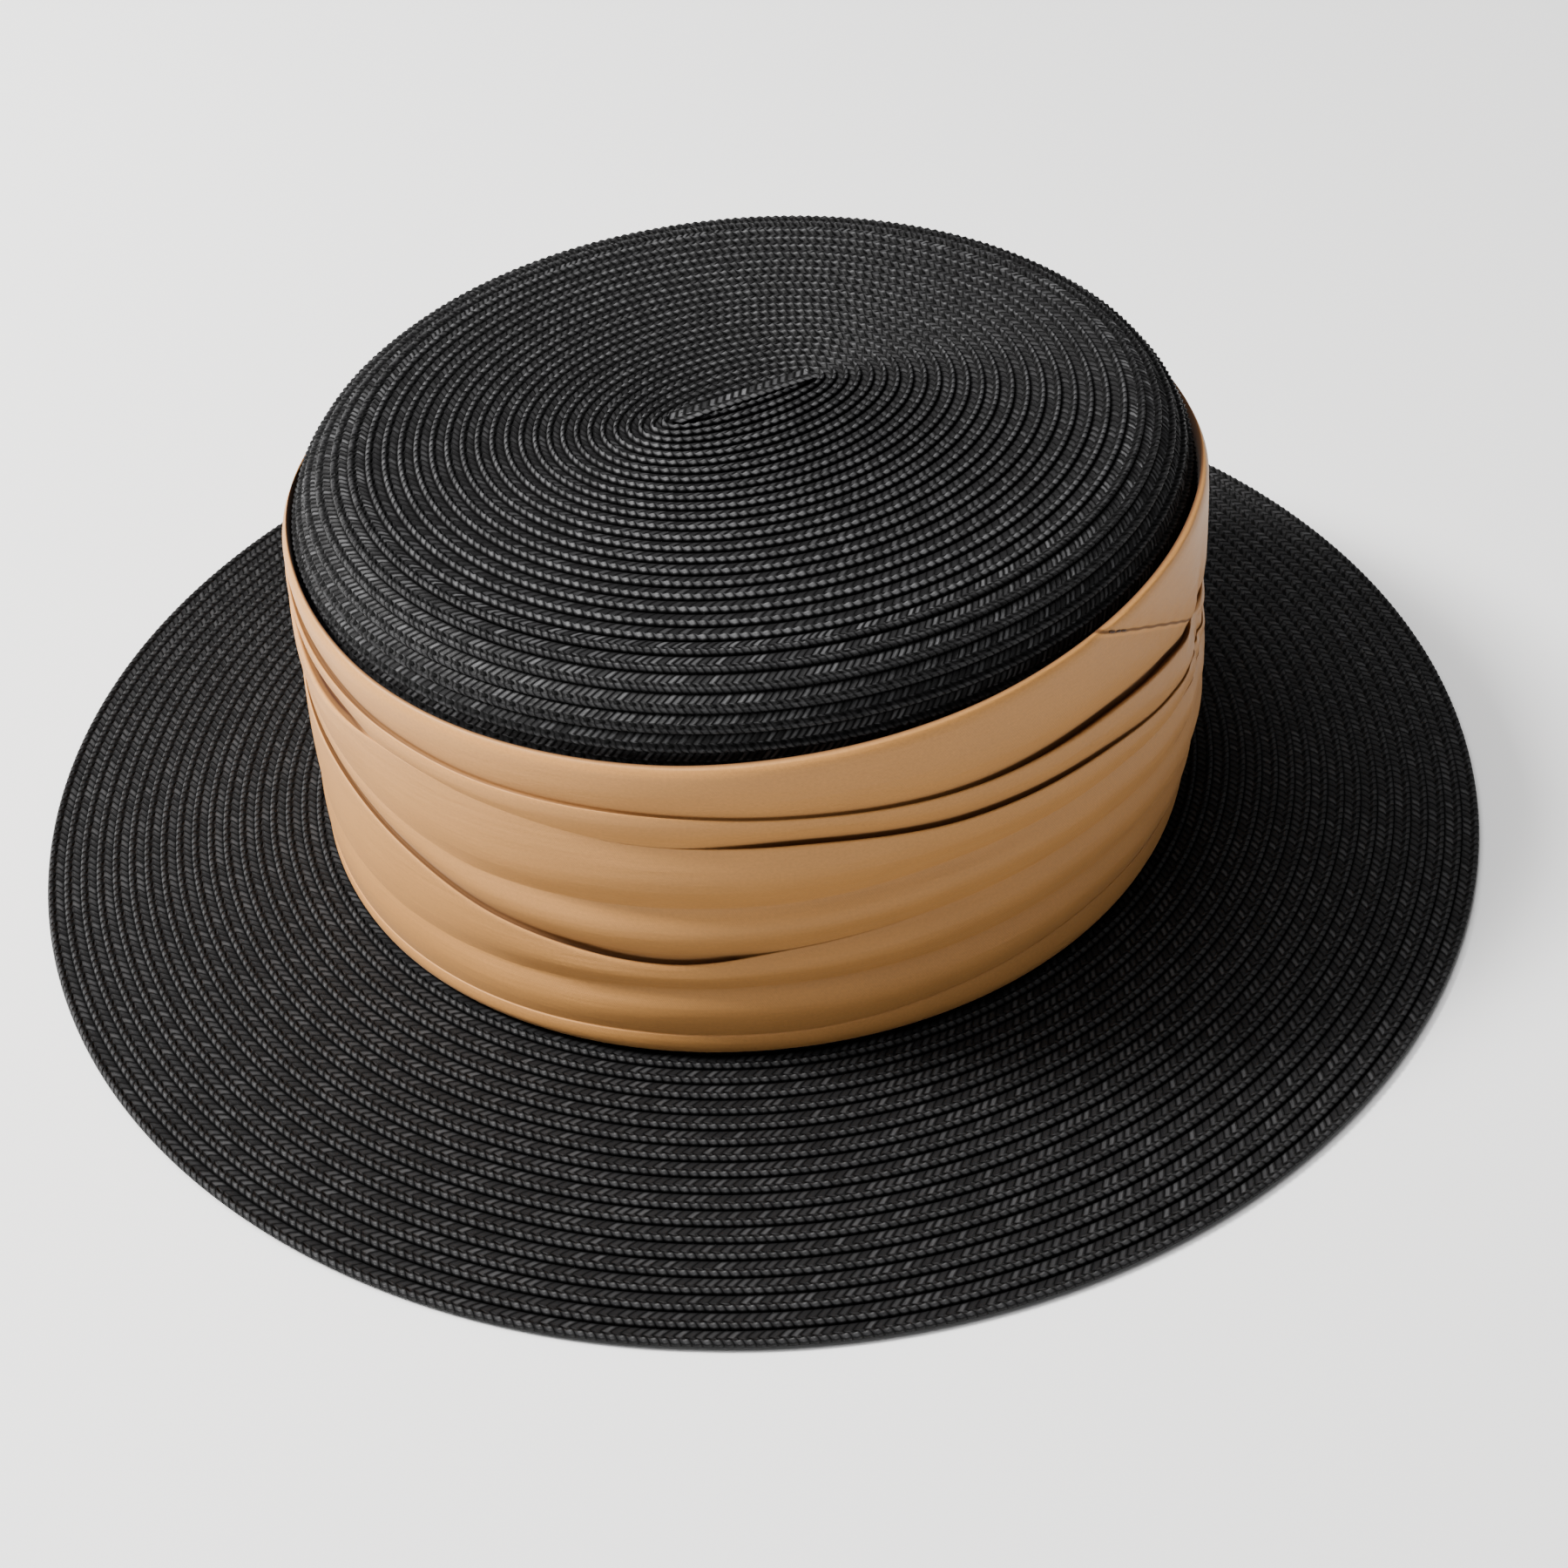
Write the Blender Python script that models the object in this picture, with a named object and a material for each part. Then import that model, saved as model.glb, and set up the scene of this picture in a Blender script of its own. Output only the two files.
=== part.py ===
"""Straw boater hat: a hollow straw crown, a wide straw brim and a folded satin band.

Metres, +Z up. The hat rests on its brim's edge at z = 0. Its front is -Y and the wearer's left is +X.
Angles round the hat are counted from the front towards the wearer's left.
"""
import math

import bmesh
import bpy
from mathutils import Vector

# Sizes of the hat, outside
BRIM_LENGTH = 0.3215
BRIM_WIDTH = 0.3110
HAT_HEIGHT = 0.0955
CROWN_LENGTH = 0.1936
CROWN_WIDTH = 0.1822
CROWN_TAPER_LENGTH = 0.0022
CROWN_TAPER_WIDTH = 0.0042
SHOULDER_RADIUS = 0.0160
STRAW_WALL = 0.0020
BRIM_RISE = 0.0044
BRIM_CURVE = 1.2
EDGE_ROW_WIDTH = 0.0036
EDGE_RADIUS = 0.0006
CLEARANCE = 0.0003

# Sizes of the band
BAND_HEIGHT = 0.0725
BAND_WALL = 0.0020
BAND_FLARE_DEPTH = 0.0007
CREASE_DEPTH = 0.0010
SWELL_DEPTH = 0.0007
GATHER_DEPTH = 0.0009
GATHER_ANGLE = 127.0
GATHER_SPREAD = 16.0

# Fineness of the faceted solids
SEGMENTS = 96
SHOULDER_STEPS = 5
SIDE_STEPS = 3
BRIM_STEPS = 4

# The tuck of the band's hem and top edge, as a share of CREASE_DEPTH
EDGE_TUCK = 0.6

# Creases of the band at six stations round the hat. Heights are shares of BAND_HEIGHT and
# depths are shares of CREASE_DEPTH. The fourth station is the side, the fifth the gather.
STATION_ANGLES = (-25.0, 10.0, 45.0, 80.0, GATHER_ANGLE, 230.0)
CREASES = (
    # name, heights at the stations, depths at the stations
    ("hem_line", (0.06, 0.06, 0.075, 0.09, 0.14, 0.07), (0.3, 0.5, 0.7, 0.7, 0.5, 0.3)),
    ("low_fold", (0.26, 0.23, 0.23, 0.24, 0.26, 0.24), (0.0, 0.1, 0.6, 0.5, 0.7, 0.3)),
    ("long_crease", (0.60, 0.49, 0.335, 0.39, 0.43, 0.42), (0.6, 0.9, 1.0, 0.5, 0.8, 0.4)),
    ("soft_fold", (0.70, 0.60, 0.525, 0.55, 0.53, 0.54), (0.0, 0.1, 0.5, 0.4, 0.7, 0.3)),
    ("middle_fold", (0.82, 0.79, 0.755, 0.70, 0.61, 0.67), (0.9, 0.5, 0.3, 1.0, 1.0, 0.3)),
    ("top_crease", (0.93, 0.88, 0.86, 0.80, 0.69, 0.84), (0.9, 0.9, 0.9, 1.0, 1.0, 0.6)),
)

# Heights of the band's top edge at the stations, as shares of BAND_HEIGHT. It climbs to the gather.
TOP_EDGE_HEIGHTS = (1.02, 1.01, 1.0, 1.04, 1.09, 1.0)

# Heights that follow from the sizes
BRIM_TOP = BRIM_RISE + STRAW_WALL
CROWN_BASE = BRIM_TOP + CLEARANCE
BAND_BASE = BRIM_TOP + CLEARANCE
SHOULDER_HEIGHT = HAT_HEIGHT - SHOULDER_RADIUS

STRAW_COLOUR = (0.014, 0.014, 0.015, 1.0)
SATIN_COLOUR = (0.552, 0.314, 0.150, 1.0)


def clear_scene():
    """Remove every object of the scene the script starts in."""
    for item in list(bpy.data.objects):
        bpy.data.objects.remove(item, do_unlink=True)


def material(name, colour, roughness):
    """A Principled material with one colour and roughness."""
    result = bpy.data.materials.new(name)
    result.use_nodes = True
    shader = result.node_tree.nodes["Principled BSDF"]
    shader.inputs["Base Color"].default_value = colour
    shader.inputs["Roughness"].default_value = roughness
    shader.inputs["Metallic"].default_value = 0.0
    result.diffuse_color = colour
    return result


def oval_point(angle, half_length, half_width, height):
    """A point of a level oval, at an angle in radians from the front."""
    return Vector((half_width * math.sin(angle), -half_length * math.cos(angle), height))


def oval(half_length, half_width, height):
    """All points of a level oval, one for each segment."""
    step = 2.0 * math.pi / SEGMENTS
    return [oval_point(step * index, half_length, half_width, height) for index in range(SEGMENTS)]


def skin_rings(rings, closed):
    """A mesh through the rings in order, joined end to end or capped with flat faces."""
    mesh = bmesh.new()
    loops = [[mesh.verts.new(point) for point in ring] for ring in rings]
    pairs = list(zip(loops, loops[1:]))
    if closed:
        pairs.append((loops[-1], loops[0]))
    for lower, upper in pairs:
        for index in range(SEGMENTS):
            following = (index + 1) % SEGMENTS
            mesh.faces.new((lower[index], lower[following], upper[following], upper[index]))
    if not closed:
        mesh.faces.new(loops[0])
        mesh.faces.new(loops[-1])
    bmesh.ops.recalc_face_normals(mesh, faces=mesh.faces)
    return mesh


def add_piece(name, mesh, base, finish, parent):
    """An object from the mesh, with its origin on the hat's axis at the height of its base."""
    bmesh.ops.translate(mesh, verts=mesh.verts, vec=(0.0, 0.0, -base))
    data = bpy.data.meshes.new(name)
    mesh.to_mesh(data)
    mesh.free()
    data.materials.append(finish)
    data.shade_smooth()
    data.set_sharp_from_angle(angle=math.radians(35.0))
    piece = bpy.data.objects.new(name, data)
    piece.location = (0.0, 0.0, base)
    piece.parent = parent
    bpy.context.scene.collection.objects.link(piece)
    return piece


def crown_half_axes(height):
    """Half length and half width of the straw's outside at a height of the crown's side."""
    share = (height - CROWN_BASE) / (SHOULDER_HEIGHT - CROWN_BASE)
    half_length = (CROWN_LENGTH - share * CROWN_TAPER_LENGTH) / 2.0
    half_width = (CROWN_WIDTH - share * CROWN_TAPER_WIDTH) / 2.0
    return half_length, half_width


def crown_rings(inset):
    """Rings of one face of the crown from its base up to the tip, inset from the outside."""
    rings = []
    for index in range(SIDE_STEPS):
        height = CROWN_BASE + (SHOULDER_HEIGHT - CROWN_BASE) * index / SIDE_STEPS
        half_length, half_width = crown_half_axes(height)
        rings.append(oval(half_length - inset, half_width - inset, height))
    half_length, half_width = crown_half_axes(SHOULDER_HEIGHT)
    radius = SHOULDER_RADIUS - inset
    for index in range(SHOULDER_STEPS + 1):
        turn = math.pi / 2.0 * index / SHOULDER_STEPS
        reach = SHOULDER_RADIUS - radius * math.cos(turn)
        height = SHOULDER_HEIGHT + radius * math.sin(turn)
        rings.append(oval(half_length - reach, half_width - reach, height))
    return rings


def make_crown(finish, parent):
    """The hollow crown: a flat tip, a round shoulder and an upright side, open below."""
    inside = crown_rings(STRAW_WALL)
    outside = crown_rings(0.0)
    inside.reverse()
    mesh = skin_rings(inside + outside, closed=False)
    return add_piece("crown", mesh, CROWN_BASE, finish, parent)


def brim_underside(share):
    """Height of the brim's underside, from the crown at share 0 to the edge at share 1."""
    flat_share = 1.0 - EDGE_ROW_WIDTH / (BRIM_WIDTH / 2.0 - CROWN_WIDTH / 2.0)
    if share >= flat_share:
        return 0.0
    return BRIM_RISE * (1.0 - share / flat_share) ** BRIM_CURVE


def brim_oval(share, height, inset=0.0):
    """A ring of the brim at a share of the way from the head opening to the edge."""
    inner_length = CROWN_LENGTH / 2.0 - STRAW_WALL
    inner_width = CROWN_WIDTH / 2.0 - STRAW_WALL
    half_length = inner_length + share * (BRIM_LENGTH / 2.0 - inner_length) - inset
    half_width = inner_width + share * (BRIM_WIDTH / 2.0 - inner_width) - inset
    return oval(half_length, half_width, height)


def make_brim(finish, parent):
    """The brim: straw that slopes from the crown down to a flat outer row it rests on."""
    flat_share = 1.0 - EDGE_ROW_WIDTH / (BRIM_WIDTH / 2.0 - CROWN_WIDTH / 2.0)
    shares = [flat_share * index / BRIM_STEPS for index in range(BRIM_STEPS + 1)]
    top = [brim_oval(share, brim_underside(share) + STRAW_WALL) for share in shares]
    edge = [
        brim_oval(1.0, STRAW_WALL, EDGE_RADIUS),
        brim_oval(1.0, STRAW_WALL - EDGE_RADIUS),
        brim_oval(1.0, EDGE_RADIUS),
        brim_oval(1.0, 0.0, EDGE_RADIUS),
    ]
    underside = [brim_oval(share, brim_underside(share)) for share in reversed(shares)]
    mesh = skin_rings(top + edge + underside, closed=True)
    return add_piece("brim", mesh, 0.0, finish, parent)


def station_value(values, degrees):
    """A value between the stations, eased from one to the next all the way round."""
    turned = (degrees - STATION_ANGLES[0]) % 360.0
    starts = [angle - STATION_ANGLES[0] for angle in STATION_ANGLES] + [360.0]
    ends = list(values) + [values[0]]
    for index in range(len(values)):
        if turned < starts[index + 1]:
            break
    share = (turned - starts[index]) / (starts[index + 1] - starts[index])
    eased = share * share * (3.0 - 2.0 * share)
    return ends[index] + eased * (ends[index + 1] - ends[index])


def gather_stand(degrees, share):
    """How far the cloth bunches out where its folds run together at the gather."""
    around = (degrees - GATHER_ANGLE + 180.0) % 360.0 - 180.0
    along = math.exp(-(around / GATHER_SPREAD) ** 2)
    return GATHER_DEPTH * along * math.sin(math.pi * share)


def band_section(degrees):
    """Height shares and outward offsets of the band's outer face, from the hem to the top."""
    top = station_value(TOP_EDGE_HEIGHTS, degrees)
    heights = [0.0] + [station_value(row[1], degrees) for row in CREASES] + [top]
    depths = [EDGE_TUCK] + [station_value(row[2], degrees) for row in CREASES] + [EDGE_TUCK]
    section = []
    for index in range(len(heights) - 1):
        low, high = heights[index], heights[index + 1]
        section.append((low, -CREASE_DEPTH * depths[index]))
        section.append(((low + high) / 2.0, SWELL_DEPTH))
    section.append((top, -CREASE_DEPTH * depths[-1]))
    return [(share, offset + gather_stand(degrees, share)) for share, offset in section]


def band_point(angle, share, offset):
    """A point of the band at a height share, outside the straw by the offset."""
    height = BAND_BASE + share * BAND_HEIGHT
    half_length, half_width = crown_half_axes(height)
    return oval_point(angle, half_length + offset, half_width + offset, height)


def make_band(finish, parent):
    """The satin band: one closed loop of folded cloth round the crown's side."""
    step = 2.0 * math.pi / SEGMENTS
    columns = []
    for index in range(SEGMENTS):
        angle = step * index
        section = band_section(math.degrees(angle))
        outside = [
            band_point(angle, share, CLEARANCE + BAND_WALL + BAND_FLARE_DEPTH * share + offset)
            for share, offset in section
        ]
        inside = [
            band_point(angle, share, CLEARANCE + BAND_FLARE_DEPTH * share ** 4)
            for share in (section[-1][0], 0.8, 0.4, 0.0)
        ]
        columns.append(outside + inside)
    rings = [list(ring) for ring in zip(*columns)]
    mesh = skin_rings(rings, closed=True)
    return add_piece("band", mesh, BAND_BASE, finish, parent)


def build_hat():
    """Build the hat's pieces under one empty."""
    clear_scene()
    hat = bpy.data.objects.new("hat", None)
    bpy.context.scene.collection.objects.link(hat)
    straw = material("straw", STRAW_COLOUR, 0.45)
    satin = material("satin", SATIN_COLOUR, 0.45)
    make_crown(straw, hat)
    make_brim(straw, hat)
    make_band(satin, hat)


build_hat()
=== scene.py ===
"""Dress the straw boater hat.

The sewn plait rows, the folded satin band with its sewn join, the floor, the light and the camera
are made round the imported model. Metres, +Z up, the hat's front is -Y, the wearer's left is +X.
Angles round the hat run from the front towards the wearer's left.
"""
import math

import bpy
import numpy as np
from mathutils import Euler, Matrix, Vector


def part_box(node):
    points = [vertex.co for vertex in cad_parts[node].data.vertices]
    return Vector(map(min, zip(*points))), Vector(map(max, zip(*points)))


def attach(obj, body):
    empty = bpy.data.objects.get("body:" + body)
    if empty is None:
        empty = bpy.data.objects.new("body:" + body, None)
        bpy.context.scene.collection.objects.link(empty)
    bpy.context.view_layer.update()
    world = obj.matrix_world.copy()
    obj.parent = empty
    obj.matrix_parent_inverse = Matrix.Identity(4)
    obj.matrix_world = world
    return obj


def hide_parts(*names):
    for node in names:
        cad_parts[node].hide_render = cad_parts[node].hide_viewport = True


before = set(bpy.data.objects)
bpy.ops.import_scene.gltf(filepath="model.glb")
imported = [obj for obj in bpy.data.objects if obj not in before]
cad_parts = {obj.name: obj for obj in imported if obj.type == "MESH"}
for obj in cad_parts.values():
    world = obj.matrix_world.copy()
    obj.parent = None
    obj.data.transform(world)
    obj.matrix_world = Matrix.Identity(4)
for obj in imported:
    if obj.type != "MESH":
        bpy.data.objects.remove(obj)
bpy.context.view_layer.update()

bl_info = {
    "name": "Straw boater hat",
    "version": (1, 0, 0),
    "blender": (4, 5, 0),
    "location": "3D View > Sidebar > Boater",
    "description": "Sewn plait rows, satin band and studio for a straw boater hat",
    "category": "Object",
}

BODY = "root"
CROWN_LOW, CROWN_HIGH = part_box("crown")
BRIM_LOW, BRIM_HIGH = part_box("brim")
FULL_TURN = 2.0 * math.pi
BAND_RADIUS = 0.095  # of the circle that the weave's sideways coordinate is measured on
BRIM_SIDE_ANGLE = math.radians(140.0)  # where the brim reaches furthest
HEM_DIP = 0.0006  # how far the hem turns in
HEM_REACH = 0.0012
LEAST_STAND = 0.0005  # of the cloth's outer face off its inner face
CLOTH_WAVE = 0.00018  # of the slow waves over the whole cloth
TUCK_SHADE = 0.9  # of the cloth that is turned in behind the band
CREASE_MARGIN = 0.0035  # share of the band's height that a crease's own rows take up on each side

# One row of plait in section, in shares of the row's pitch from its inner to its outer edge,
# and in shares of the plait's thickness above the straw's outer face. The swing is the share
# of the bead swing that the point takes.
PLAIT_SECTION = (
    # across, height, swing
    (-0.25, -0.70, 0.0),
    (0.06, -0.42, 0.0),
    (0.36, -0.27, 0.5),
    (0.64, -0.30, 0.4),
    (0.76, 0.04, 1.0),
    (0.85, 0.08, 1.0),
    (0.96, -0.10, 0.7),
    (1.03, -0.42, 0.2),
    (0.60, -0.86, 0.0),
    (-0.10, -1.00, 0.0),
)
END_BEADS = 4.0  # over these the plait's two ends sink in

# Creases of the band at stations round the hat. Heights are shares of the band's height at its
# front. Laps are shares of the lap depth, where the cloth below stands in front of the cloth above.
# Grooves are shares of the groove depth, where the cloth only dips.
STATIONS = (-45.0, -25.0, -5.0, 10.0, 25.0, 45.0, 60.0, 80.0, 100.0, 115.0, 127.0, 160.0, 235.0)
CREASES = {
    # name: heights, laps, grooves
    "hem line": (
        (0.05, 0.05, 0.055, 0.06, 0.063, 0.07, 0.07, 0.092, 0.105, 0.09, 0.08, 0.07, 0.06),
        (0.05, 0.05, 0.05, 0.05, 0.06, 0.08, 0.06, 0.05, 0.05, 0.05, 0.05, 0.05, 0.05),
        (0.1, 0.1, 0.1, 0.1, 0.1, 0.1, 0.1, 0.2, 0.3, 0.3, 0.3, 0.1, 0.1),
    ),
    "low fold": (
        (0.27, 0.26, 0.24, 0.22, 0.215, 0.235, 0.24, 0.24, 0.245, 0.225, 0.21, 0.24, 0.26),
        (0.0, 0.0, 0.0, 0.0, 0.0, 0.0, 0.0, 0.0, 0.0, 0.0, 0.05, 0.05, 0.0),
        (0.0, 0.0, 0.0, 0.1, 0.4, 0.75, 0.75, 0.65, 0.6, 0.6, 0.5, 0.4, 0.1),
    ),
    "long crease": (
        (0.63, 0.59, 0.543, 0.473, 0.385, 0.325, 0.366, 0.392, 0.40, 0.388, 0.40, 0.42, 0.50),
        (0.2, 0.5, 0.5, 0.48, 0.5, 0.95, 0.04, 0.0, 0.0, 0.0, 0.05, 0.05, 0.0),
        (0.1, 0.1, 0.1, 0.1, 0.2, 0.9, 0.75, 0.65, 0.55, 0.5, 0.4, 0.4, 0.2),
    ),
    "soft fold": (
        (0.72, 0.68, 0.62, 0.565, 0.525, 0.52, 0.522, 0.545, 0.55, 0.53, 0.52, 0.54, 0.60),
        (0.0, 0.0, 0.0, 0.0, 0.0, 0.0, 0.0, 0.0, 0.0, 0.0, 0.05, 0.05, 0.0),
        (0.0, 0.0, 0.0, 0.1, 0.5, 0.85, 0.85, 0.75, 0.45, 0.4, 0.4, 0.3, 0.1),
    ),
    "middle fold": (
        (0.87, 0.85, 0.79, 0.812, 0.79, 0.737, 0.730, 0.687, 0.650, 0.60, 0.585, 0.68, 0.76),
        (0.4, 1.1, 1.3, 0.03, 0.0, 0.02, 0.5, 0.55, 0.4, 0.2, 0.2, 0.1, 0.0),
        (0.1, 0.4, 0.5, 0.0, 0.0, 0.4, 0.6, 0.2, 0.3, 0.3, 0.3, 0.2, 0.1),
    ),
    "top crease": (
        (0.965, 0.95, 0.898, 0.880, 0.859, 0.848, 0.825, 0.785, 0.765, 0.715, 0.675, 0.79, 0.88),
        (0.4, 0.7, 0.6, 0.42, 0.32, 0.28, 0.3, 0.4, 0.72, 0.75, 0.5, 0.25, 0.1),
        (0.0, 0.1, 0.1, 0.0, 0.0, 0.0, 0.1, 0.2, 0.5, 0.7, 0.4, 0.1, 0.0),
    ),
}
TOP_EDGE = (1.03, 1.055, 1.024, 1.005, 1.0, 1.0, 1.01, 1.03, 1.062, 1.078, 1.085, 1.03, 0.985)
# The rows that turn in behind the top edge: shares of the band's height from it, and of its stand
TUCK_ROWS = ((0.0, 0.45), (-0.006, 0.3), (-0.05, 0.12), (-0.3, 0.05))
# How far the cloth sags out below the gather at the stations, as shares of the band's belly
BELLIES = (0.1, 0.0, 0.0, 0.0, 0.0, 0.0, 0.0, 0.1, 0.45, 0.85, 1.0, 0.5, 0.2)
# How far the cloth stands off the straw at the stations, as shares of the band's stand
STANDS = (0.40, 0.60, 0.80, 0.95, 1.0, 1.0, 1.0, 1.0, 1.0, 0.95, 0.85, 0.5, 0.35)

# How far a lapped crease lifts the cloth below it, sinks the cloth above it and shades both
LAP_REACH_BELOW = 0.0055
LAP_REACH_ABOVE = 0.0036
RIM_WIDTH = 0.0007  # of the curled rim on the cloth below
LAP_EDGE = 0.00001
SHADE_REACH = 0.0032
EDGE_SHADE_REACH = 0.000009

# Lean and spacing of the satin's weave
TWILL_LEAN = 0.6
TWILL_PITCH = 0.00042
THREAD_PITCH = 0.00031

# The join's seam runs down from the band's top edge to the gather. Its height share is
# START + SLOPE * s + BEND * s * s, where s goes from 0 to 1 along the seam.
SEAM_ANGLES = (97.0, 126.0)
SEAM_START = 1.082
SEAM_SLOPE = -0.305
SEAM_BEND = -0.091
SEAM_STEP = 0.0004  # from the cloth below the seam to the cloth above it
SEAM_WIDTH = 0.0008
SEAM_REACH = 0.005
STITCH_ANGLES = (100.4, 101.5, 102.6)
STITCH_SPAN = 0.75  # degrees that one stitch covers

# The gather lies at this share of the band's height. The cloth bunches out round it, with a
# dimple in its middle and wrinkles that run out from it
GATHER_SHARE = 0.66
BUNCH_SIZE = (0.022, 0.020)
DIMPLE_SIZE = (0.005, 0.012)
WRINKLE_COUNT = 9.0
WRINKLE_START = 0.004
WRINKLE_REACH = 0.011
WRINKLE_DEPTH = 0.0005
# The belly's lowest edge and its span, as shares of the band's height
BELLY_FOOT = 0.06
BELLY_SPAN = 0.6


def metres(name, description, default):
    """A setting in metres."""
    return bpy.props.FloatProperty(
        name=name, description=description, default=default, unit="LENGTH"
    )


def number(name, description, default):
    """A setting without a unit, or in degrees where its description says so."""
    return bpy.props.FloatProperty(name=name, description=description, default=default)


def paint(name, description, default):
    """A colour setting."""
    return bpy.props.FloatVectorProperty(
        name=name,
        description=description,
        default=default,
        subtype="COLOR",
        size=3,
        min=0.0,
        max=1.0,
    )


class HatSizes(bpy.types.PropertyGroup):
    """Sizes of the straw body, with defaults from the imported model."""

    crown_width: metres(
        "Crown width", "Width of the crown's straw at its base", CROWN_HIGH[0] - CROWN_LOW[0]
    )
    crown_length: metres(
        "Crown length",
        "Length of the crown's straw at its base, front to back",
        CROWN_HIGH[1] - CROWN_LOW[1],
    )
    brim_width: metres("Brim width", "Width of the brim over all", BRIM_HIGH[0] - BRIM_LOW[0])
    brim_length: metres(
        "Brim length", "Length of the brim over all, front to back", BRIM_HIGH[1] - BRIM_LOW[1]
    )
    hat_height: metres("Hat height", "Height of the flat tip above the table", CROWN_HIGH[2])
    brim_top: metres("Brim top", "Height of the brim's upper face at the crown", BRIM_HIGH[2])
    taper_width: metres("Width taper", "How much narrower the crown is at its shoulder", 0.0042)
    taper_length: metres("Length taper", "How much shorter the crown is at its shoulder", 0.0022)
    shoulder_radius: metres(
        "Shoulder radius", "Radius of the round edge between tip and side", 0.016
    )
    straw_wall: metres("Straw wall", "Thickness of the sewn plait", 0.002)
    edge_row: metres("Edge row", "Width of the brim's outermost row, which lies flat", 0.0036)
    brim_side: metres("Brim side", "How much further the brim reaches at the back left", 0.0025)
    brim_curve: number(
        "Brim curve", "Exponent of the brim's slope from the crown to its edge", 1.2
    )
    centre_run: metres(
        "Centre run", "Half the length of the straight run in the middle of the tip", 0.0170
    )
    centre_place: bpy.props.FloatVectorProperty(
        name="Centre place",
        description="Where the middle of the straight run lies, sideways and front to back",
        default=(-0.0031, 0.0012),
        size=2,
        unit="LENGTH",
    )
    centre_turn: bpy.props.FloatProperty(
        name="Centre turn",
        description="How far the straight run is turned from the front-to-back line",
        default=math.radians(-7.0),
        unit="ROTATION",
    )


class PlaitSizes(bpy.types.PropertyGroup):
    """Sizes of the sewn plait."""

    centre_pitch: metres(
        "Centre pitch", "Distance from row to row in the middle of the tip", 0.0026
    )
    centre_width: metres(
        "Centre width", "Width of the straight run in the middle of the tip", 0.0046
    )
    side_pitch: metres(
        "Side pitch", "Distance from row to row on the shoulder and the side", 0.0038
    )
    brim_pitch: metres("Brim pitch", "Distance from row to row on the brim", 0.00345)
    bead_length: metres("Bead length", "Distance between two strands of the plait's edge", 0.00185)
    bead_swing: metres("Bead swing", "How far each strand stands above the next", 0.0002)
    strand_slope: number(
        "Strand slope", "Beads that a strand runs along the plait while it crosses the row", 1.7
    )
    step_length: number(
        "Step length", "Share of a turn that a row's step outwards at the centre back takes", 0.06
    )


class BandSizes(bpy.types.PropertyGroup):
    """Sizes of the satin band."""

    height: metres("Band height", "Height of the band at the front left", 0.0735)
    clearance: metres("Clearance", "Gap between the band and the straw", 0.0003)
    stand: metres(
        "Stand", "Distance of the cloth's outer face from its inner face's place", 0.0024
    )
    lap_depth: metres("Lap depth", "Step of the deepest lapped crease", 0.0026)
    pocket_depth: metres("Pocket depth", "How deep the pocket behind a lapped crease is", 0.0014)
    belly: metres("Belly", "How far the gathered cloth sags out below the join", 0.0019)
    groove_depth: metres("Groove depth", "Dip of the deepest soft fold", 0.0017)
    groove_width: metres("Groove width", "Half width of a soft fold", 0.0034)
    swell: metres("Swell", "How far the cloth swells out between two creases", 0.0004)
    roll_radius: metres("Roll radius", "Radius of the rolled top edge", 0.0012)
    gather_stand: metres(
        "Gather stand", "How far the gathered cloth bunches out at the join", 0.0014
    )
    thread_radius: metres("Thread radius", "Radius of the join's sewing thread", 0.00022)
    gather_angle: number("Gather angle", "Degrees from the front to the gather", 127.0)


class HatColours(bpy.types.PropertyGroup):
    """Colours of the hat and the studio."""

    straw: paint("Straw", "Black of the plait's strands", (0.0062, 0.0060, 0.0063))
    # Painted highlight: this grey on the ridge strands stands in for the light they catch
    straw_painted_highlight: paint(
        "Light straw", "Painted highlight grey of the strands on the ridges", (0.10, 0.10, 0.103)
    )
    # Painted shade: this black between the strands and in the pits stands in for the shade there
    straw_painted_shade: paint("Deep straw", "Black between the strands", (0.0004, 0.0004, 0.0004))
    satin: paint("Satin", "Tan of the band", (0.475, 0.222, 0.062))
    # Painted shade: this brown stands in for the shade inside the creases, pockets and turned-in
    # cloth
    satin_painted_shade: paint("Deep satin", "Brown inside the creases", (0.045, 0.013, 0.003))
    thread: paint("Thread", "Brown of the stitches", (0.09, 0.04, 0.018))
    floor: paint("Floor", "Pale studio floor", (0.86, 0.86, 0.86))


class StudioSizes(bpy.types.PropertyGroup):
    """The camera's place and lens."""

    azimuth: number("Azimuth", "Degrees round the hat from its front", 54.93)
    elevation: number("Elevation", "Degrees above the table", 37.73)
    roll: number("Roll", "Degrees that the camera is tipped", -2.22)
    distance: metres("Distance", "From the lens to its target", 0.4967)
    target_height: metres("Target height", "Height of the target", 0.04815)
    lens: number("Lens", "Focal length for a sensor 36 mm wide", 52.36)
    shift_x: number("Shift X", "Sideways shift of the frame", 0.0202)
    shift_y: number("Shift Y", "Upward shift of the frame", -0.1254)


# Shader nodes as expressions


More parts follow.
